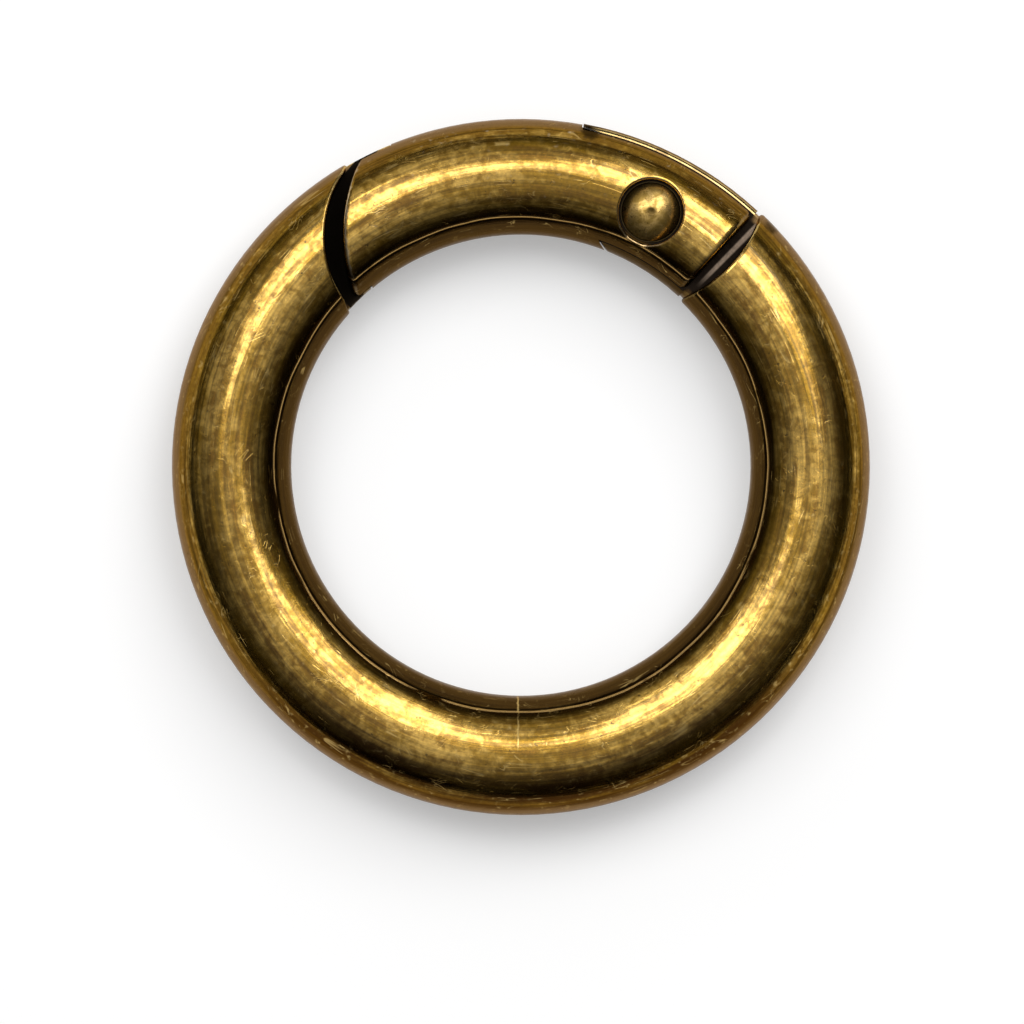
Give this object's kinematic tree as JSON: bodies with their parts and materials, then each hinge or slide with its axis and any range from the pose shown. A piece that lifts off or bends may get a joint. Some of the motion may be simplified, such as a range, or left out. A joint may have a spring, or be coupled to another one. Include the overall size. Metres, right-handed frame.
{
  "type": "spring gate ring",
  "caption": "Ring of round section with a spring-closed gate: a forked, riveted hinge at one end and a slanted rounded nose that shuts into a scooped seat at the other.",
  "frame": {"origin": "centre of the ring's eye, on the middle plane of its round section", "axes": "+Z along the axis of the eye, out of the face whose rivet head is centre-popped; +Y and +X in the plane of the ring, with the hinge 62.9 degrees and the latch about 128 degrees anticlockwise from +X. The ring lies flat, on the opposite face."},
  "size_m": [0.038, 0.0379, 0.0064],
  "materials": {
    "antique_brass_plate": "antique brass plating over die-cast zinc alloy: polished, with fine scratches, brown tarnish in patches and near-black hollows",
    "antique_brass_rivet": "antique brass plated rivet, domed heads worn bright at the rim",
    "spring_steel": "drawn music wire, plain"
  },
  "bodies": {
    "ring": {"ring_body": "antique_brass_plate"},
    "gate": {"gate": "antique_brass_plate", "hinge_rivet": "antique_brass_rivet", "gate_spring": "spring_steel"}
  },
  "joints": [
    {"name": "gate_hinge", "type": "hinge", "parent": "ring", "child": "gate", "pos_m": [0.00704, 0.01375, 0], "axis": [0, 0, 1], "range_deg": [0, 45], "stiffness_Nm_per_rad": 0.06, "springref_deg": -34.38, "deforming": ["gate_spring"]}
  ]
}
